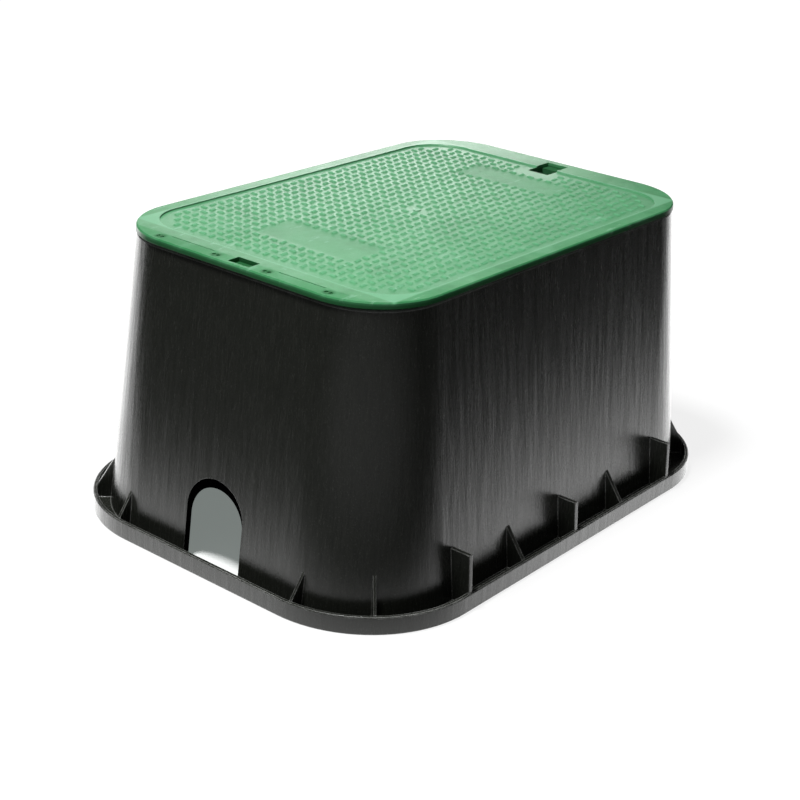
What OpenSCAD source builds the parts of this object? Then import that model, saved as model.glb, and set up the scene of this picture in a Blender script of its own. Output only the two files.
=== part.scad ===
// Rectangular irrigation valve box: a drafted one-piece body, open at the base, and a lift-off lid.
// Millimetres, +Z up. The origin is the middle of the footprint, on the ground.
// X runs along the length and Y across the width. The pipe arches are in the -X and +X ends.

/* [Body] */
// Outside length of the body at its rim
body_length = 525; // [440:5:640]
// Outside width of the body at its rim
body_width = 355; // [300:5:460]
// Outside corner radius of the body at its rim
body_corner_radius = 73; // [60:1:90]
// Height from the ground to the top of the rim
rim_height = 297.5; // [220:0.5:460]
// Angle by which every wall leans out towards the ground
wall_draft_angle = 6; // [2:0.5:8]
// Wall thickness
wall_thickness = 4.5; // [3.5:0.5:7]

/* [Rim] */
// Width of the thickened rim, from the outside face inwards
rim_width = 14; // [12:0.5:20]
// Height of the straight part of the rim
rim_depth = 9; // [6:1:16]
// Height over which the rim thins back to the wall
rim_taper = 12; // [8:1:20]
// Chamfer on the outside top edge of the rim
rim_chamfer = 1.5; // [0.5:0.25:2.5]
// Height of the seat bead that carries the lid
seat_height = 1.5; // [1:0.25:3]
// Width of the seat bead
seat_width = 4; // [3:0.5:6]
// Distance from the outside of the rim to the seat bead
seat_inset = 6; // [4:0.5:7]

/* [Base flange] */
// Gap between the foot of an end wall and the upturned lip
channel_end = 12; // [8:1:24]
// Gap between the foot of a side wall and the upturned lip
channel_side = 16.5; // [8:0.5:28]
// Corner radius of the lip, outside
lip_corner_radius = 124; // [110:1:135]
// Height of the lip above the ground
lip_height = 18; // [12:1:30]
// Thickness of the lip
lip_thickness = 4; // [3:0.5:6]
// Thickness of the channel floor
floor_thickness = 4; // [3:0.5:6]
// Chamfer on the top edge of the lip
lip_chamfer = 1; // [0.25:0.25:1.25]

/* [Gussets] */
// Thickness of the gussets along the sides
side_gusset_thickness = 4.5; // [2:0.5:6]
// Thickness of the gussets at the ends and in the corners
end_gusset_thickness = 3; // [2:0.5:6]
// Slope of the triangular gussets above the horizontal
gusset_slope = 54; // [45:1:65]
// Slope of the gussets in the four corners
corner_gusset_slope = 59; // [45:1:68]
// Height of the outer square gussets above the ground
square_gusset_height = 57; // [40:1:80]
// Height of the square gusset in the middle of each side
middle_gusset_height = 49; // [40:1:80]
// Distance between neighbouring gussets along a side
side_gusset_pitch = 88; // [70:1:100]
// Distance from the centre line to the gussets of an end
end_gusset_offset = 117.5; // [90:0.5:125]
// Distance from the outside of the lip to the foot of a square gusset
square_gusset_setback = 1.5; // [0.5:0.5:3]
// How far the outer edge of a square gusset leans back from foot to top
square_gusset_lean = 2.5; // [0:0.5:5]

/* [Pipe arches] */
// Width of the arch in the outside face
arch_width = 74; // [60:1:110]
// Height of the top of the arch above the ground
arch_height = 93; // [80:1:140]
// Depth of the knock-out rebate, from the outside face
rebate_depth = 3; // [1.5:0.5:3]
// Width of the rebate on each side of the arch
rebate_side = 2; // [1:0.5:5]
// Height of the rebate over the top of the arch
rebate_top = 10; // [4:1:14]

/* [Lid] */
// How far the lid stands out past the rim all round
lid_overhang = 1.5; // [0.5:0.25:3]
// Corner radius of the lid
lid_corner_radius = 76.5; // [64:0.5:92]
// Thickness of the lid at its border
lid_thickness = 6; // [5.5:0.5:9]
// Flare of the lid edge from top to bottom
lid_edge_flare = 0.5; // [0.25:0.25:1]
// Chamfer on the top edge of the lid
lid_chamfer = 1.25; // [0.5:0.25:2]
// Depth of the tread field below the border
field_depth = 1.5; // [0.5:0.25:2.5]
// Border between the ends of the lid and the tread field
field_inset_end = 32; // [28:1:40]
// Border between the sides of the lid and the tread field
field_inset_side = 16; // [12:1:24]
// Corner radius of the tread field
field_corner_radius = 48; // [36:1:60]

/* [Tread] */
// Distance between neighbouring lugs, along and across
lug_pitch = 12; // [11:0.5:16]
// Length of a lug
lug_length = 8; // [6:0.5:10]
// Length of the slope at each end of a lug
lug_end_length = 1.5; // [0.5:0.25:2.5]
// Width of a lug at its base
lug_width = 4.4; // [2.4:0.2:5.2]
// Height of a lug above the field
lug_height = 1.5; // [0.8:0.1:2]
// Plain strip between the edge of the field and the middle of the first lugs
lug_margin = 10; // [9:1:16]
// Size of each bare panel, along the lid
panel_length = 46; // [30:2:60]
// Size of each bare panel, across the lid
panel_width = 118; // [80:2:150]
// Distance from the middle of the lid to the middle of the near bare panel
near_panel_offset = 146; // [110:2:160]
// Distance from the middle of the lid to the middle of the far bare panel
far_panel_offset = 168; // [120:2:170]
// Radius of the gate mark in the middle of the lid
gate_radius = 4; // [2:0.5:7]
// Height of the gate mark above the field
gate_height = 0.8; // [0.4:0.1:1.5]

/* [Lid openings] */
// Width of the lift hole and of the pry slot, across the lid
hole_width = 27; // [20:1:36]
// Distance from the end of the lid to the end of the lift hole
hole_inset = 10; // [8:0.5:11]
// Length of the lift hole, its shallow step included
hole_length = 40; // [34:1:60]
// Length of the pry slot, along the lid
slot_length = 15; // [10:1:16]
// Distance from the end of the lid to the pry slot
slot_inset = 5; // [4:0.5:8]
// Depth of the pry slot and of the shallow step in the lift hole
pocket_depth = 4.5; // [3:0.25:4.75]

/* [Border marks] */
// Distance from the end of the lid to the middle of each pair of marks
mark_inset = 9; // [7:0.5:11]
// Distance from the centre line to the inner pair of each side
inner_mark_offset = 32.5; // [24:0.5:45]
// Distance from the centre line to the outer pair of each side
outer_mark_offset = 107.5; // [85:0.5:115]
// Length of a mark, along the lid
mark_length = 4; // [2:0.5:5]
// Width of a mark, across the lid
mark_width = 3; // [1.5:0.5:3.5]
// Distance between the two marks of a pair
mark_pitch = 5.5; // [4:0.5:8]
// Depth of the marks
mark_depth = 1; // [0.4:0.1:1.5]
// Distance from the end of the lid to the groove between two pairs
groove_inset = 15.5; // [13:0.5:20]
// Width of the groove
groove_width = 1.2; // [0.6:0.1:2]
// Depth of the groove
groove_depth = 0.6; // [0.3:0.1:1]
// Plain stretch between each end of the groove and its pair of marks
groove_margin = 9; // [6:0.5:14]

/* [Lid underside] */
// Clearance between the locating ring and the rim, all round
ring_clearance = 2; // [1:0.25:4]
// Thickness of the locating ring
ring_thickness = 3.5; // [2.5:0.5:5]
// Depth of the ring and the ribs below the plate
ring_depth = 14; // [10:1:25]
// Thickness of the stiffening ribs
rib_thickness = 3; // [2:0.5:4]
// Distance between the ribs that run across the lid
cross_rib_pitch = 70; // [50:5:90]
// Distance between the ribs that run along the lid
long_rib_pitch = 53; // [40:1:70]

/* [Hidden] */
$fn = 96;
body_colour = [0.13, 0.14, 0.14];
lid_colour = [0.33, 0.58, 0.42];
skin = 0.01;
over = 2;

draft = tan(wall_draft_angle);
corner_x = body_length / 2 - body_corner_radius;
corner_y = body_width / 2 - body_corner_radius;
foot_radius = wall_radius(0);
side_gussets_each_way = 2;

lip_half_x = corner_x + foot_radius + channel_end + lip_thickness;
lip_half_y = corner_y + foot_radius + channel_side + lip_thickness;
lip_corner_x = lip_half_x - lip_corner_radius;
lip_corner_y = lip_half_y - lip_corner_radius;
lip_inside_radius = lip_corner_radius - lip_thickness;

lid_bottom = rim_height + seat_height;
lid_top = lid_bottom + lid_thickness;
lid_half_x = body_length / 2 + lid_overhang;
lid_half_y = body_width / 2 + lid_overhang;
lid_corner_x = lid_half_x - lid_corner_radius;
lid_corner_y = lid_half_y - lid_corner_radius;

field_half_x = lid_half_x - field_inset_end;
field_half_y = lid_half_y - field_inset_side;
field_z = lid_top - field_depth;

rim_opening_radius = body_corner_radius - rim_width;
ring_radius = rim_opening_radius - ring_clearance;
ring_inside_x = corner_x + ring_radius - ring_thickness;
ring_inside_y = corner_y + ring_radius - ring_thickness;

arch_radius = arch_width / 2;
inner_arch_radius = arch_radius - rebate_side;
inner_arch_height = arch_height - rebate_top;

// Outside corner radius of the wall at height z, to a hundredth, so that the corners and sides meet exactly
function wall_radius(z) = round(100 * (body_corner_radius + draft * (rim_height - z))) / 100;

// A block with vertical rounded corners about (+-cx, +-cy), whose radius goes from r0 to r1 over its height.
// The corners are true cones or cylinders and the sides are true planes.
module rounded_block(cx, cy, r0, r1, height) {
    for (sx = [-1, 1], sy = [-1, 1])
        translate([sx * cx, sy * cy, 0]) cylinder(r1 = r0, r2 = r1, h = height);
    rotate([90, 0, 90])
        translate([0, 0, -cx])
            linear_extrude(2 * cx)
                polygon([[-cy - r0, 0], [cy + r0, 0], [cy + r1, height], [-cy - r1, height]]);
    rotate([90, 0, 0])
        translate([0, 0, -cy])
            linear_extrude(2 * cy)
                polygon([[-cx - r0, 0], [cx + r0, 0], [cx + r1, height], [-cx - r1, height]]);
}

// The drafted wall as a solid block, drawn in from its outside face by inset, from z0 up to z1
module wall_block(inset, z0, z1) {
    translate([0, 0, z0])
        rounded_block(corner_x, corner_y, wall_radius(z0) - inset, wall_radius(z1) - inset, z1 - z0);
}

module rim_bead() {
    outside = body_corner_radius - seat_inset;
    translate([0, 0, rim_height - skin])
        difference() {
            rounded_block(corner_x, corner_y, outside, outside, seat_height + skin);
            translate([0, 0, -over])
                rounded_block(corner_x, corner_y, outside - seat_width, outside - seat_width,
                              seat_height + 2 * over);
        }
}

module body_outside() {
    wall_block(0, 0, rim_height - rim_chamfer);
    shoulder = wall_radius(rim_height - rim_chamfer);
    translate([0, 0, rim_height - rim_chamfer])
        rounded_block(corner_x, corner_y, shoulder, shoulder - rim_chamfer, rim_chamfer);
}

module body_inside() {
    taper_foot = rim_height - rim_depth - rim_taper;
    wall_block(wall_thickness, -over, taper_foot);
    translate([0, 0, taper_foot])
        rounded_block(corner_x, corner_y, wall_radius(taper_foot) - wall_thickness,
                      rim_opening_radius, rim_taper);
    translate([0, 0, taper_foot + rim_taper - skin])
        rounded_block(corner_x, corner_y, rim_opening_radius, rim_opening_radius,
                      rim_depth + seat_height + over);
}

module base_channel() {
    difference() {
        union() {
            rounded_block(lip_corner_x, lip_corner_y, lip_corner_radius, lip_corner_radius,
                          lip_height - lip_chamfer);
            translate([0, 0, lip_height - lip_chamfer])
                rounded_block(lip_corner_x, lip_corner_y, lip_corner_radius,
                              lip_corner_radius - lip_chamfer, lip_chamfer);
        }
        translate([0, 0, floor_thickness])
            rounded_block(lip_corner_x, lip_corner_y, lip_inside_radius, lip_inside_radius,
                          lip_height);
    }
}

// An upright plate in the plane y = 0, given by its outline in x and z
module gusset_plate(outline, thickness) {
    rotate([90, 0, 0])
        translate([0, 0, -thickness / 2])
            linear_extrude(thickness) polygon(outline);
}

// A plate that slopes from the wall down to the inside of the lip, at lip distance from its root
module triangular_gusset(lip, reach, slope, thickness) {
    gusset_plate([
        [lip - reach, floor_thickness - skin],
        [lip + skin, floor_thickness - skin],
        [lip + skin, lip_height],
        [lip - reach, lip_height + reach * tan(slope)]
    ], thickness);
}

// A plate with a level top that stands on the lip
module square_gusset(lip, reach, height) {
    foot = lip + lip_thickness - square_gusset_setback;
    gusset_plate([
        [lip - reach, floor_thickness - skin],
        [lip + skin, floor_thickness - skin],
        [lip + skin, lip_height - lip_chamfer - skin],
        [foot, lip_height - lip_chamfer - skin],
        [foot - square_gusset_lean, height],
        [lip - reach, height]
    ], side_gusset_thickness);
}

module gussets() {
    side_lip = lip_half_y - lip_thickness;
    end_lip = lip_half_x - lip_thickness;
    side_reach = channel_side + draft * lip_height + wall_thickness;
    end_reach = channel_end + draft * lip_height + wall_thickness;
    for (side = [-90, 90])
        rotate([0, 0, side])
            for (k = [-side_gussets_each_way:side_gussets_each_way]) {
                height = k == 0 ? middle_gusset_height : square_gusset_height;
                translate([0, k * side_gusset_pitch, 0])
                    if (k % 2 == 0) square_gusset(side_lip, side_reach + draft * height, height);
                    else triangular_gusset(side_lip, side_reach + draft * lip_height, gusset_slope,
                                           side_gusset_thickness);
            }
    for (end = [0, 180], k = [-1, 1])
        rotate([0, 0, end])
            translate([0, k * end_gusset_offset, 0])
                triangular_gusset(end_lip, end_reach + draft * lip_height, gusset_slope,
                                  end_gusset_thickness);
    for (sx = [-1, 1], sy = [-1, 1])
        translate([sx * lip_corner_x, sy * lip_corner_y, 0])
            rotate([0, 0, atan2(sy, sx)])
                triangular_gusset(lip_inside_radius, side_reach + draft * lip_height, corner_gusset_slope,
                                  end_gusset_thickness);
}

// A round-topped opening through an end wall, as a bar along X
module arch_bar(radius, top, x0, x1) {
    translate([x0, 0, 0])
        rotate([90, 0, 90])
            linear_extrude(x1 - x0) {
                translate([0, top - radius]) circle(radius);
                translate([-radius, floor_thickness])
                    square([2 * radius, top - radius - floor_thickness]);
            }
}

module pipe_arch() {
    outside = corner_x + foot_radius;
    inside = corner_x + body_corner_radius - wall_thickness;
    arch_bar(inner_arch_radius, inner_arch_height, inside - over, outside + over);
    difference() {
        arch_bar(arch_radius, arch_height, inside - over, outside + over);
        wall_block(rebate_depth, 0, arch_height + over);
    }
}

module box_body() {
    color(body_colour)
        difference() {
            union() {
                body_outside();
                rim_bead();
                base_channel();
                gussets();
            }
            body_inside();
            for (end = [0, 180]) rotate([0, 0, end]) pipe_arch();
        }
}

// Where a lug may stand: inside the field's rounded outline, off the bare panels, the gate and the hole
function in_field(x, y) =
    let (dx = max(abs(x) - (field_half_x - field_corner_radius), 0),
         dy = max(abs(y) - (field_half_y - field_corner_radius), 0))
    norm([dx, dy]) <= field_corner_radius - lug_margin;
function in_panel(x, y, middle) =
    abs(x - middle) < panel_length / 2 && abs(y) < panel_width / 2;
function near_hole(x, y) =
    x > lid_half_x - hole_inset - hole_length - lug_pitch && abs(y) < hole_width / 2 + lug_pitch / 2;
function takes_lug(x, y) =
    in_field(x, y) && !in_panel(x, y, -near_panel_offset) && !in_panel(x, y, far_panel_offset)
    && !near_hole(x, y) && norm([x, y]) > lug_pitch;

// A short ridge along X with sloping ends
module lug() {
    foot_x = lug_length / 2;
    foot_y = lug_width / 2;
    ridge_x = foot_x - lug_end_length;
    polyhedron(
        points = [
            [-foot_x, -foot_y, -skin],
            [foot_x, -foot_y, -skin],
            [foot_x, foot_y, -skin],
            [-foot_x, foot_y, -skin],
            [-ridge_x, 0, lug_height],
            [ridge_x, 0, lug_height]
        ],
        faces = [[0, 1, 2, 3], [0, 4, 5, 1], [3, 2, 5, 4], [0, 3, 4], [1, 5, 2]]
    );
}

// Lugs on a square grid, turned a quarter from each one to the next
module tread() {
    columns = floor((field_half_x - lug_margin) / lug_pitch);
    rows = floor((field_half_y - lug_margin) / lug_pitch - 0.5);
    for (i = [-columns:columns], j = [-rows - 1:rows])
        if (takes_lug(i * lug_pitch, (j + 0.5) * lug_pitch))
            translate([i * lug_pitch, (j + 0.5) * lug_pitch, field_z])
                rotate([0, 0, (abs(i) + abs(j)) % 2 == 0 ? 0 : 90]) lug();
}

module lid_plate() {
    edge = lid_thickness - lid_chamfer;
    translate([0, 0, lid_bottom])
        rounded_block(lid_corner_x, lid_corner_y, lid_corner_radius + lid_edge_flare,
                      lid_corner_radius, edge);
    translate([0, 0, lid_bottom + edge])
        rounded_block(lid_corner_x, lid_corner_y, lid_corner_radius,
                      lid_corner_radius - lid_chamfer, lid_chamfer);
}

module field_recess() {
    translate([0, 0, field_z])
        rounded_block(field_half_x - field_corner_radius, field_half_y - field_corner_radius,
                      field_corner_radius, field_corner_radius, field_depth + over);
}

// The ring that drops inside the rim, with a grid of ribs across it and a well round the lift hole
module lid_underside() {
    hole_start = lid_half_x - hole_inset - hole_length;
    inside = ring_radius - ring_thickness;
    cross_ribs_each_way = floor(ring_inside_x / cross_rib_pitch);
    long_ribs_each_way = floor(ring_inside_y / long_rib_pitch);
    translate([0, 0, lid_bottom - ring_depth]) {
        difference() {
            rounded_block(corner_x, corner_y, ring_radius, ring_radius, ring_depth + skin);
            translate([0, 0, -over])
                rounded_block(corner_x, corner_y, inside, inside, ring_depth + over + skin);
        }
        intersection() {
            rounded_block(corner_x, corner_y, ring_radius, ring_radius, ring_depth + skin);
            union() {
                for (k = [-cross_ribs_each_way:cross_ribs_each_way])
                    translate([k * cross_rib_pitch - rib_thickness / 2, -lid_half_y, 0])
                        cube([rib_thickness, 2 * lid_half_y, ring_depth + skin]);
                for (k = [-long_ribs_each_way:long_ribs_each_way])
                    translate([-lid_half_x, k * long_rib_pitch - rib_thickness / 2, 0])
                        cube([2 * lid_half_x, rib_thickness, ring_depth + skin]);
                translate([hole_start - rib_thickness, -hole_width / 2 - rib_thickness, 0])
                    cube([hole_length, hole_width + 2 * rib_thickness, ring_depth + skin]);
            }
        }
    }
}

// The lift hole goes through up to the ring, and its far end is a shallow step over the rim
module lift_hole() {
    start = lid_half_x - hole_inset - hole_length;
    translate([start, -hole_width / 2, lid_bottom - ring_depth - over])
        cube([ring_inside_x - start, hole_width, lid_thickness + ring_depth + 2 * over]);
    translate([start, -hole_width / 2, lid_top - pocket_depth])
        cube([hole_length, hole_width, pocket_depth + over]);
}

module pry_slot() {
    translate([-lid_half_x + slot_inset, -hole_width / 2, lid_top - pocket_depth])
        cube([slot_length, hole_width, pocket_depth + over]);
}

// A low disc where the plastic was fed in
module gate_mark() {
    translate([0, 0, field_z - skin]) cylinder(r = gate_radius, h = gate_height + skin, $fn = 32);
}

// Two small pits side by side across the lid, about y
module mark_pair(y) {
    for (side = [-1, 1])
        translate([-lid_half_x + mark_inset - mark_length / 2,
                   y + side * mark_pitch / 2 - mark_width / 2, lid_top - mark_depth])
            cube([mark_length, mark_width, mark_depth + over]);
}

// On each side of the pry slot, two pairs of marks with a fine groove between them
module border_marks() {
    groove_length = outer_mark_offset - inner_mark_offset - 2 * groove_margin;
    groove_middle = (inner_mark_offset + outer_mark_offset) / 2;
    for (side = [-1, 1]) {
        mark_pair(side * inner_mark_offset);
        mark_pair(side * outer_mark_offset);
        translate([-lid_half_x + groove_inset - groove_width / 2,
                   side * groove_middle - groove_length / 2, lid_top - groove_depth])
            cube([groove_width, groove_length, groove_depth + over]);
    }
}

module lid() {
    color(lid_colour)
        difference() {
            union() {
                difference() {
                    lid_plate();
                    field_recess();
                }
                lid_underside();
                tread();
                gate_mark();
            }
            lift_hole();
            pry_slot();
            border_marks();
        }
}

box_body();
lid();
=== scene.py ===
"""Looks for the irrigation valve box: plastics, lid details, floor, lights and camera.

Metres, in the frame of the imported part: +X along the length, +Y across the width, +Z up.
"""

import math

import bpy
from mathutils import Matrix, Vector


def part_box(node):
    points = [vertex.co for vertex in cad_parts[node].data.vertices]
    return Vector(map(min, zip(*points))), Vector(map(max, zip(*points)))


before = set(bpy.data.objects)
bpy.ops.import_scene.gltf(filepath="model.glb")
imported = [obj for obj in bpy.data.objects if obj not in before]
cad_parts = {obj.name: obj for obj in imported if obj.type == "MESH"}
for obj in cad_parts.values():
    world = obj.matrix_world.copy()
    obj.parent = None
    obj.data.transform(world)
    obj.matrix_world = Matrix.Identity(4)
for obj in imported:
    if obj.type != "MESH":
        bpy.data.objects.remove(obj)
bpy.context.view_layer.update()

MM = 0.001
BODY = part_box("box_body")
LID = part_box("lid")

# Camera, as the photograph's: where it stands, where it looks and how it is rolled
CAMERA_POSITION = (-1.2914, -1.0185, 0.8010)
CAMERA_HEADING = 38.51
CAMERA_DOWN = 23.36
CAMERA_ROLL = 2.99
CAMERA_FOCAL_LENGTH = 74.93
CAMERA_SENSOR = 36.0

# The pale sheet under the object, painted bright as a pool of light: how far from the middle its brightness starts and
# ends to fade on the -X side, on the -Y side and towards the camera, where the edge runs askew, and how strongly it
# glows for glossy rays, a painted reflection
SHEET_FADE_X = (0.24, 0.56)
SHEET_FADE_Y = (0.14, 0.60)
SHEET_FADE_NEAR = (-0.19, -0.50)
SHEET_SKEW = 0.30
SHEET_GLOSSY_GLOW = 2.5
# The sheet's painted lightness, standing in for light that falls off: away from the object, what the bright part adds
# and what the part before the camera adds
SHEET_PAINTED_LIGHT = (0.10, 0.45, 0.62)

# The backdrop, a bright band behind the object: the sines of its top and of its right and left sides seen
# from the object, each with where it starts and ends to fade, and the light in the band and elsewhere
BAND_TOP = (0.25, 0.32)
BAND_RIGHT = (0.03, 0.17)
BAND_LEFT = (-0.24, -0.07)
BAND_LIGHT = 6.5
REST_LIGHT = 0.10

# Rise of the lid's top from its corners to its middle, too slight to show but for its gloss
LID_CROWN = 0.0035
# Distance from the middle to the strip at the lid's -X end, and its slope
STRIP_START = 0.247
STRIP_SLOPE = 0.055
# Heights between which the lid's faces turn from sharp to worn round, and how far they turn upwards
LUG_FEET = (0.3026, 0.3034)
LUG_SOFTNESS = 1.1
# Heights between which the lugs turn pale, partly worn by boots and partly a painted highlight on their tops
LUG_PALE = (0.3030, 0.3044)
# Half length and half width of the tread field; the border beyond it is duller
FIELD = (0.232, 0.163)
# Places of the border marks, and the extent of the pry slot, which both are painted darker as shade
MARK_X = -0.255
MARK_SIDES = (0.0325, 0.1075)
SLOT_X = (-0.2592, -0.2438)
SLOT_HALF_WIDTH = 0.0137
SLOT_TOP = 0.3048
# Middle and half size of each bare panel along the lid, and their half width
PANELS = ((-0.145, 0.025), (0.168, 0.022))
PANEL_HALF_WIDTH = 0.060
# Heights between which the lid's rim and its pockets turn darker, a painted shade
LID_SHADE = (0.3008, 0.3036)

# Heights between which the top of the body turns pale, a painted highlight along its shoulder, patchy
RIM_HIGHLIGHT = (0.2950, 0.2962)

# The pipe arches' outline: half width, top and foot, and the distances from the middle between which they lie; the
# faces inside it are painted black as shade
ARCH_RADIUS = 0.0373
ARCH_TOP = 0.0933
ARCH_FOOT = 0.004
ARCH_ENDS = (0.24, 0.2945)


def linked_object(name, data):
    obj = bpy.data.objects.new(name, data)
    bpy.context.scene.collection.objects.link(obj)
    return obj


def make_camera():
    heading, down, roll = (math.radians(a) for a in (CAMERA_HEADING, CAMERA_DOWN, CAMERA_ROLL))
    forward = Vector((math.cos(heading) * math.cos(down), math.sin(heading) * math.cos(down), -math.sin(down)))
    level_right = Vector((math.sin(heading), -math.cos(heading), 0))
    level_up = level_right.cross(forward)
    right = math.cos(roll) * level_right + math.sin(roll) * level_up
    up = -math.sin(roll) * level_right + math.cos(roll) * level_up
    data = bpy.data.cameras.new("camera")
    data.lens = CAMERA_FOCAL_LENGTH
    data.sensor_width = CAMERA_SENSOR
    data.clip_end = 50
    camera = linked_object("camera", data)
    turn = Matrix((right, up, -forward)).transposed().to_4x4()
    camera.matrix_world = Matrix.Translation(CAMERA_POSITION) @ turn
    bpy.context.scene.camera = camera


class Nodes:
    """A node tree of a material or of the world, built by short calls."""

    def __init__(self, name):
        self.material = bpy.data.materials.new(name)
        self.material.use_nodes = True
        self.start(self.material.node_tree, "OutputMaterial")

    @classmethod
    def of_tree(cls, tree, output):
        nodes = cls.__new__(cls)
        nodes.material = None
        nodes.start(tree, output)
        return nodes

    def start(self, tree, output):
        self.tree = tree
        self.tree.nodes.clear()
        self.output = self.tree.nodes.new("ShaderNode" + output)

    def add(self, kind, inputs=None, **settings):
        node = self.tree.nodes.new("ShaderNode" + kind)
        for key, value in settings.items():
            setattr(node, key, value)
        for key, value in (inputs or {}).items():
            self.feed(node.inputs[key], value)
        return node

    def feed(self, socket, value):
        if isinstance(value, bpy.types.NodeSocket):
            self.tree.links.new(value, socket)
        else:
            socket.default_value = value

    def math(self, operation, *values):
        node = self.add("Math", operation=operation)
        for socket, value in zip(node.inputs, values):
            self.feed(socket, value)
        return node.outputs[0]

    def mapped(self, scale):
        place = self.add("TexCoord").outputs["Object"]
        return self.add("Mapping", {"Vector": place, "Scale": scale}).outputs[0]

    def noise(self, vector, scale=1.0, detail=3.0, roughness=0.5):
        node = self.add("TexNoise", {"Vector": vector, "Scale": scale, "Detail": detail, "Roughness": roughness})
        return node.outputs["Fac"]

    def ramp(self, value, stops):
        node = self.add("ValToRGB", {"Fac": value})
        elements = node.color_ramp.elements
        while len(elements) < len(stops):
            elements.new(0.5)
        for element, (position, colour) in zip(elements, stops):
            element.position = position
            element.color = (*colour, 1) if len(colour) == 3 else colour
        return node.outputs["Color"]

    def between(self, value, low, high):
        return self.add("MapRange", {"Value": value, "To Min": low, "To Max": high}).outputs[0]

    def dot(self, first, second):
        return self.add("VectorMath", {0: first, 1: second}, operation="DOT_PRODUCT").outputs["Value"]

    def panel_mask(self, axes):
        """1 on the bare panels of the lid, 0 elsewhere."""
        wide = self.smooth(self.math("ABSOLUTE", axes["Y"]), PANEL_HALF_WIDTH, PANEL_HALF_WIDTH + 0.008, 1, 0)
        total = 0.0
        for middle, half in PANELS:
            away = self.math("ABSOLUTE", self.math("SUBTRACT", axes["X"], middle))
            total = self.math("ADD", self.smooth(away, half, half + 0.006, 1, 0), total)
        return self.math("MULTIPLY", wide, total)

    def mark_mask(self, axes):
        """1 at the marks of the lid's -X border and in its pry slot, 0 elsewhere."""
        along = self.math("SUBTRACT", axes["X"], MARK_X)
        total = self.slot_mask(axes)
        for side in MARK_SIDES:
            away = self.math("SUBTRACT", self.math("ABSOLUTE", axes["Y"]), side)
            square = self.math("ADD", self.math("MULTIPLY", along, along), self.math("MULTIPLY", away, away))
            total = self.math("ADD", self.smooth(self.math("SQRT", square), 0.0030, 0.0085, 1, 0), total)
        return self.math("MINIMUM", total, 1.0)

    def slot_mask(self, axes):
        """1 on the faces of the lid's pry slot, 0 elsewhere."""
        inside = self.math("LESS_THAN", axes["Z"], SLOT_TOP)
        inside = self.math("MULTIPLY", inside, self.math("GREATER_THAN", axes["X"], SLOT_X[0]))
        inside = self.math("MULTIPLY", inside, self.math("LESS_THAN", axes["X"], SLOT_X[1]))
        wide = self.math("LESS_THAN", self.math("ABSOLUTE", axes["Y"]), SLOT_HALF_WIDTH)
        return self.math("MULTIPLY", inside, wide)

    def arch_mask(self, axes):
        """1 on the faces inside the outline of the pipe arches, 0 elsewhere."""
        above = self.math("MAXIMUM", self.math("SUBTRACT", axes["Z"], ARCH_TOP - ARCH_RADIUS), 0.0)
        square = self.math("ADD", self.math("MULTIPLY", axes["Y"], axes["Y"]), self.math("MULTIPLY", above, above))
        inside = self.math("LESS_THAN", square, ARCH_RADIUS * ARCH_RADIUS)
        out = self.math("ABSOLUTE", axes["X"])
        wall = self.math("MULTIPLY", self.math("GREATER_THAN", out, ARCH_ENDS[0]),
                         self.math("LESS_THAN", out, ARCH_ENDS[1]))
        raised = self.math("GREATER_THAN", axes["Z"], ARCH_FOOT)
        return self.math("MULTIPLY", self.math("MULTIPLY", inside, raised), wall)

    def smooth(self, value, start, end, low, high):
        inputs = {"Value": value, "From Min": start, "From Max": end, "To Min": low, "To Max": high}
        return self.add("MapRange", inputs, interpolation_type="SMOOTHSTEP").outputs[0]

    def sum(self, first, second):
        node = self.add("AddShader")
        self.feed(node.inputs[0], first.outputs[0])
        self.feed(node.inputs[1], second.outputs[0])
        return node.outputs[0]

    def mix(self, factor, first, second, blend="MIX"):
        node = self.add("Mix", data_type="RGBA", blend_type=blend)
        self.feed(node.inputs[0], factor)
        self.feed(node.inputs[6], first)
        self.feed(node.inputs[7], second)
        return node.outputs[2]

    def bump(self, height, strength, distance, normal=None):
        inputs = {"Height": height, "Strength": strength, "Distance": distance}
        if normal is not None:
            inputs["Normal"] = normal
        return self.add("Bump", inputs).outputs[0]

    def soft_edges(self, radius):
        return self.add("Bevel", {"Radius": radius}, samples=4).outputs[0]

    def surface(self, shader):
        self.tree.links.new(shader, self.output.inputs["Surface"])
        return self.material


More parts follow.
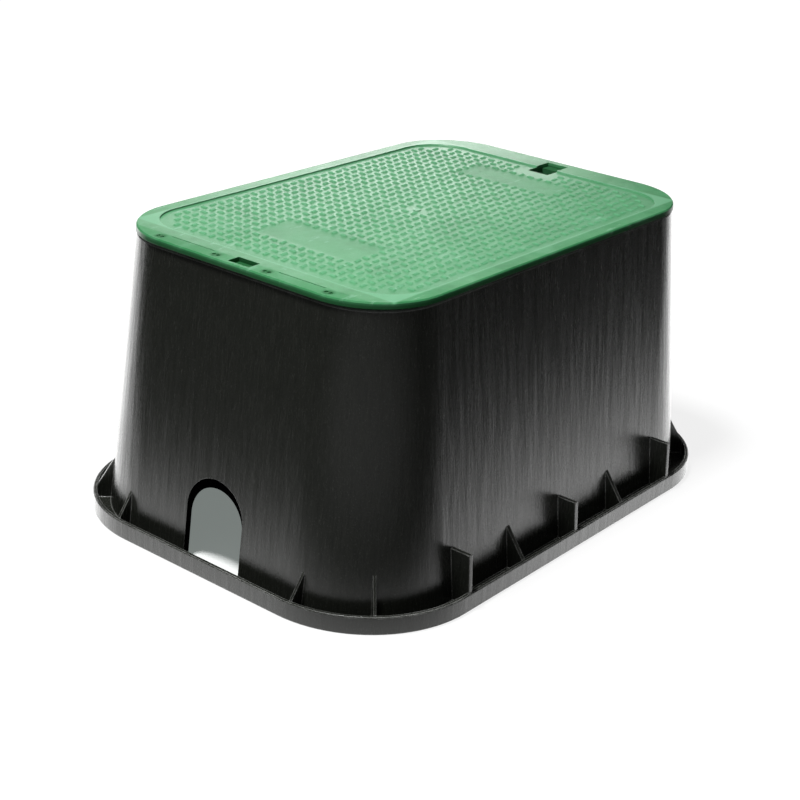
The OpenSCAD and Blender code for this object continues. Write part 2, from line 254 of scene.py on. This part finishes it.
def body_plastic():
    """Black plastic with fine upright flow lines; pale edges, partly worn and partly a painted highlight; a painted
    highlight along its top; and painted black shade on the faces inside the pipe arches.
    """
    n = Nodes("black_foam_plastic")
    place = n.add("TexCoord").outputs["Object"]
    axes = n.add("SeparateXYZ", {"Vector": place}).outputs
    streaks = n.noise(n.mapped((380, 380, 34)), detail=4, roughness=0.7)
    broad_streaks = n.noise(n.mapped((90, 90, 6)), detail=3)
    clouds = n.noise(n.mapped((11, 11, 11)), detail=6, roughness=0.65)
    grain = n.noise(n.mapped((700, 700, 500)), detail=3, roughness=0.7)
    low = n.smooth(axes["Z"], 0.02, 0.24, 1.0, 0.25)
    colour = n.ramp(streaks, [(0.3, (0.012, 0.014, 0.011)), (0.7, (0.026, 0.028, 0.023))])
    colour = n.mix(n.between(clouds, 0.0, 0.45), colour, (0.036, 0.039, 0.032, 1))
    colour = n.mix(n.smooth(grain, 0.56, 0.70, 0.0, 0.30), colour, (0.110, 0.115, 0.108, 1))
    soft = n.soft_edges(0.0015)
    sharp = n.add("NewGeometry").outputs["True Normal"]
    edge = n.math("SUBTRACT", 1.0, n.dot(soft, sharp))
    # Edges painted pale grey: partly worn, partly a painted highlight where light catches the rounded edges.
    wear_and_highlight = n.math("MULTIPLY", n.smooth(edge, 0.005, 0.10, 0, 1), n.smooth(clouds, 0.40, 0.60, 0.40, 1.0))
    colour = n.mix(n.math("MULTIPLY", wear_and_highlight, n.smooth(grain, 0.35, 0.6, 0.4, 1.0)), colour, (0.62, 0.63, 0.61, 1))
    # Painted highlight: the top of the body painted pale grey in patches.
    rim = n.math("MULTIPLY", n.smooth(axes["Z"], RIM_HIGHLIGHT[0], RIM_HIGHLIGHT[1], 0, 1), n.smooth(clouds, 0.38, 0.6, 0.3, 0.8))
    colour = n.mix(rim, colour, (0.22, 0.225, 0.22, 1))
    # Painted shade: the faces inside the pipe arches' outline are painted black, with their gloss taken away.
    arch_shade = n.arch_mask(axes)
    colour = n.mix(arch_shade, colour, (0.002, 0.002, 0.002, 1))
    roughness = n.between(n.math("ADD", n.math("MULTIPLY", clouds, 0.5), n.math("MULTIPLY", streaks, 0.5)), 0.17, 0.36)
    normal = n.bump(grain, 0.22, 0.0006, soft)
    normal = n.bump(streaks, n.math("MULTIPLY", low, 0.13), 0.0015, normal)
    normal = n.bump(broad_streaks, 0.20, 0.0030, normal)
    specular = n.math("MULTIPLY", n.math("SUBTRACT", 1.0, arch_shade), 0.44)
    shader = n.add("BsdfPrincipled", {"Base Color": colour, "Roughness": roughness, "Normal": normal,
                                      "Specular IOR Level": specular})
    return n.surface(shader.outputs[0])


def lid_plastic():
    """Green plastic with chalky scuffs, with painted shade in its pockets, marks and slot and down its rim, and lug
    tops painted paler, partly worn and partly a painted highlight.
    """
    n = Nodes("green_lid_plastic")
    place = n.add("TexCoord").outputs["Object"]
    axes = n.add("SeparateXYZ", {"Vector": place}).outputs
    clouds = n.noise(n.mapped((9, 9, 9)), detail=6, roughness=0.65)
    patches = n.noise(n.mapped((24, 34, 24)), detail=5, roughness=0.62)
    scuffs = n.noise(n.mapped((38, 130, 60)), detail=5, roughness=0.6)
    grain = n.noise(n.mapped((900, 900, 900)), detail=3)
    beside = n.smooth(n.math("ABSOLUTE", axes["Y"]), FIELD[1], FIELD[1] + 0.003, 0.0, 1.0)
    behind = n.smooth(axes["X"], FIELD[0], FIELD[0] + 0.003, 0.0, 1.0)
    before = n.smooth(axes["X"], -FIELD[0], -FIELD[0] - 0.003, 0.0, 1.0)
    border = n.math("MAXIMUM", beside, behind)
    field = n.math("SUBTRACT", 1.0, n.math("MAXIMUM", border, before))
    colour = n.ramp(clouds, [(0.38, (0.052, 0.268, 0.100)), (0.64, (0.084, 0.342, 0.142))])
    colour = n.mix(n.smooth(patches, 0.46, 0.68, 0.0, 0.60), colour, (0.125, 0.370, 0.190, 1))
    colour = n.mix(n.smooth(scuffs, 0.60, 0.74, 0.0, 0.60), colour, (0.300, 0.570, 0.395, 1))
    stains = n.noise(n.mapped((17, 12, 17)), detail=5, roughness=0.7)
    colour = n.mix(n.smooth(stains, 0.48, 0.66, 0.0, 0.60), colour, (0.040, 0.205, 0.075, 1))
    # Lug tops in the field painted paler, with less gloss: partly worn, partly a painted highlight.
    pale_tops = n.math("MULTIPLY", n.smooth(axes["Z"], LUG_PALE[0], LUG_PALE[1], 0.0, 1.0), field)
    colour = n.mix(n.math("MULTIPLY", pale_tops, 0.65), colour, (0.200, 0.505, 0.290, 1))
    # Painted shade: low down, the lid's rim and pockets are painted dark green.
    low_shade = n.smooth(axes["Z"], LID_SHADE[0], LID_SHADE[1], 0.85, 0.0)
    colour = n.mix(low_shade, colour, (0.020, 0.105, 0.036, 1))
    # Painted shade: the border marks and the pry slot are painted dark green, with their gloss cut.
    recess_shade = n.mark_mask(axes)
    colour = n.mix(n.math("MULTIPLY", recess_shade, 0.75), colour, (0.022, 0.125, 0.040, 1))
    roughness = n.between(n.math("ADD", n.math("MULTIPLY", clouds, 0.5), n.math("MULTIPLY", patches, 0.5)), 0.23, 0.45)
    roughness = n.math("ADD", roughness, n.math("MULTIPLY", n.panel_mask(axes), 0.12))
    across = n.add("VectorMath", {0: place, 1: (1 / LID[1][0], 1 / LID[1][1], 0)},
                   operation="MULTIPLY").outputs[0]
    crown = n.math("MULTIPLY", n.dot(across, across), -LID_CROWN / 2)
    beyond = n.math("MAXIMUM", n.math("SUBTRACT", -STRIP_START, axes["X"]), 0.0)
    crown = n.math("SUBTRACT", crown, n.math("MULTIPLY", beyond, STRIP_SLOPE))
    lift = n.smooth(axes["Z"], LUG_FEET[0], LUG_FEET[1], 0.0, LUG_SOFTNESS)
    lift = n.math("MULTIPLY", lift, field)
    soft = n.add("VectorMath", {0: n.soft_edges(0.0005), 1: n.add("CombineXYZ", {"Z": lift}).outputs[0]},
                 operation="ADD").outputs[0]
    soft = n.add("VectorMath", {0: soft}, operation="NORMALIZE").outputs[0]
    normal = n.bump(crown, 1.0, 1.0, soft)
    normal = n.bump(grain, 0.15, 0.0005, normal)
    normal = n.bump(patches, 0.15, 0.0020, normal)
    gloss = n.smooth(clouds, 0.36, 0.62, 0.28, 0.51)
    gloss = n.math("MULTIPLY", gloss, n.between(border, 1.0, 0.32))
    # The gloss rises towards +Y and falls towards the -X end: a painted sheen, spread over the lid by place.
    gloss = n.math("MULTIPLY", gloss, n.smooth(axes["Y"], -0.17, 0.17, 0.45, 2.1))
    gloss = n.math("MULTIPLY", gloss, n.smooth(axes["X"], -0.235, -0.13, 0.45, 1.0))
    gloss = n.math("MULTIPLY", gloss, n.between(pale_tops, 1.0, 0.4))
    gloss = n.math("MULTIPLY", gloss, n.between(recess_shade, 1.0, 0.2))
    shader = n.add("BsdfPrincipled", {"Base Color": colour, "Roughness": roughness, "Normal": normal,
                                      "Specular IOR Level": gloss})
    return n.surface(shader.outputs[0])


def dress(node, material):
    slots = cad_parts[node].material_slots
    for slot in slots:
        slot.material = material


def rounded_sheet(name, half_x, half_y, radius, z, material):
    """A flat sheet with rounded corners, which isn't part of the object."""
    corner_steps = 12
    outline = []
    for quarter in range(4):
        sign_x, sign_y = ((1, 1), (-1, 1), (-1, -1), (1, -1))[quarter]
        for step in range(corner_steps + 1):
            angle = math.radians(90) * (quarter + step / corner_steps)
            x = sign_x * (half_x - radius) + radius * math.cos(angle)
            y = sign_y * (half_y - radius) + radius * math.sin(angle)
            outline.append((x, y, z))
    mesh = bpy.data.meshes.new(name)
    mesh.from_pydata(outline, [], [tuple(range(len(outline)))])
    mesh.materials.append(material)
    linked_object(name, mesh)


def heading_vectors():
    heading = math.radians(CAMERA_HEADING)
    return (math.cos(heading), math.sin(heading), 0), (math.sin(heading), -math.cos(heading), 0)


def floor_material():
    """A sheet painted bright near the object and before the camera as painted pools of light, glowing for glossy rays
    as a painted reflection; the camera sees it as white, with the shadow left.
    """
    n = Nodes("pale_floor")
    place = n.add("NewGeometry").outputs["Position"]
    forward, right = heading_vectors()
    along = n.dot(place, forward)
    side = n.dot(place, right)
    axes = n.add("SeparateXYZ", {"Vector": place}).outputs
    askew = n.math("SUBTRACT", along, n.math("MULTIPLY", side, SHEET_SKEW))
    bright = n.smooth(askew, SHEET_FADE_NEAR[1], SHEET_FADE_NEAR[0], 0, 1)
    bright = n.math("MULTIPLY", bright, n.smooth(axes["X"], -SHEET_FADE_X[1], -SHEET_FADE_X[0], 0, 1))
    bright = n.math("MULTIPLY", bright, n.smooth(axes["Y"], -SHEET_FADE_Y[1], -SHEET_FADE_Y[0], 0, 1))
    front = n.math("MULTIPLY", n.smooth(along, -0.9, -0.5, 1, 0),
                   n.smooth(n.math("ABSOLUTE", side), 0.5, 1.2, 1, 0))
    # Painted pools of light: the sheet's lightness rises near the object and before the camera.
    painted_light = n.math("ADD", n.math("MULTIPLY", bright, SHEET_PAINTED_LIGHT[1]), SHEET_PAINTED_LIGHT[0])
    painted_light = n.math("ADD", painted_light, n.math("MULTIPLY", front, SHEET_PAINTED_LIGHT[2]))
    colour = n.add("CombineColor", {"Red": painted_light, "Green": painted_light, "Blue": painted_light}).outputs[0]
    path = n.add("LightPath")
    # Painted reflection: the bright part glows for glossy rays.
    glossy_glow = n.math("MULTIPLY", n.math("MULTIPLY", bright, path.outputs["Is Glossy Ray"]), SHEET_GLOSSY_GLOW)
    lit = n.sum(n.add("BsdfDiffuse", {"Color": colour}), n.add("Emission", {"Strength": glossy_glow}))
    distance = n.add("VectorMath", {0: place}, operation="LENGTH").outputs["Value"]
    glow = n.smooth(distance, 0.35, 0.9, 0.84, 1.0)
    shaded = n.add("BsdfDiffuse", {"Color": (0.22, 0.22, 0.22, 1)})
    seen = n.sum(shaded, n.add("Emission", {"Strength": glow}))
    blend = n.add("MixShader", {"Fac": path.outputs["Is Camera Ray"]})
    n.feed(blend.inputs[1], lit)
    n.feed(blend.inputs[2], seen)
    return n.surface(blend.outputs[0])


def inner_floor_material():
    n = Nodes("floor_inside_box")
    ground = n.add("BsdfDiffuse", {"Color": (0.95, 0.96, 0.95, 1)})
    # Painted light: the ground inside the box glows a little, standing in for light that reaches it.
    inner_glow = n.add("Emission", {"Color": (0.90, 1.0, 0.96, 1), "Strength": 0.20})
    return n.surface(n.sum(ground, inner_glow))


def make_floor():
    rounded_sheet("floor", 8, 8, 0.1, -0.0006, floor_material())
    rounded_sheet("floor_inside", 0.300, 0.2145, 0.112, -0.0002, inner_floor_material())


def make_world():
    """White where the camera looks, and for all else a dim room with a bright band behind the object."""
    world = bpy.data.worlds.new("studio")
    bpy.context.scene.world = world
    world.use_nodes = True
    n = Nodes.of_tree(world.node_tree, "OutputWorld")
    direction = n.add("TexCoord").outputs["Generated"]
    forward, right = heading_vectors()
    ahead = n.smooth(n.dot(direction, forward), 0.0, 0.3, 0, 1)
    height = n.smooth(n.dot(direction, (0, 0, 1)), BAND_TOP[0], BAND_TOP[1], 1, 0)
    across = n.dot(direction, right)
    right_side = n.smooth(across, BAND_RIGHT[0], BAND_RIGHT[1], 1, 0)
    left_side = n.smooth(across, BAND_LEFT[0], BAND_LEFT[1], 0, 1)
    band = n.math("MULTIPLY", n.math("MULTIPLY", ahead, height), n.math("MULTIPLY", right_side, left_side))
    strength = n.math("ADD", n.math("MULTIPLY", band, BAND_LIGHT - REST_LIGHT), REST_LIGHT)
    light = n.add("Background", {"Strength": strength})
    seen = n.add("Background", {"Color": (1, 1, 1, 1), "Strength": 1.0})
    blend = n.add("MixShader", {"Fac": n.add("LightPath").outputs["Is Camera Ray"]})
    n.feed(blend.inputs[1], light.outputs[0])
    n.feed(blend.inputs[2], seen.outputs[0])
    n.surface(blend.outputs[0])


def softbox(name, position, target, size, power):
    data = bpy.data.lights.new(name, "AREA")
    data.shape = "RECTANGLE"
    data.size, data.size_y = size
    data.energy = power
    obj = linked_object(name, data)
    obj.location = position
    aim = Vector(target) - Vector(position)
    obj.rotation_euler = aim.to_track_quat("-Z", "Y").to_euler()


def make_lights():
    middle = (0, 0, 0.15)
    softbox("top_softbox", (-0.60, 0.10, 2.1), middle, (0.32, 0.32), 40)


dress("box_body", body_plastic())
dress("lid", lid_plastic())
make_camera()
make_floor()
make_world()
make_lights()

scene = bpy.context.scene
scene.view_settings.view_transform = "Standard"
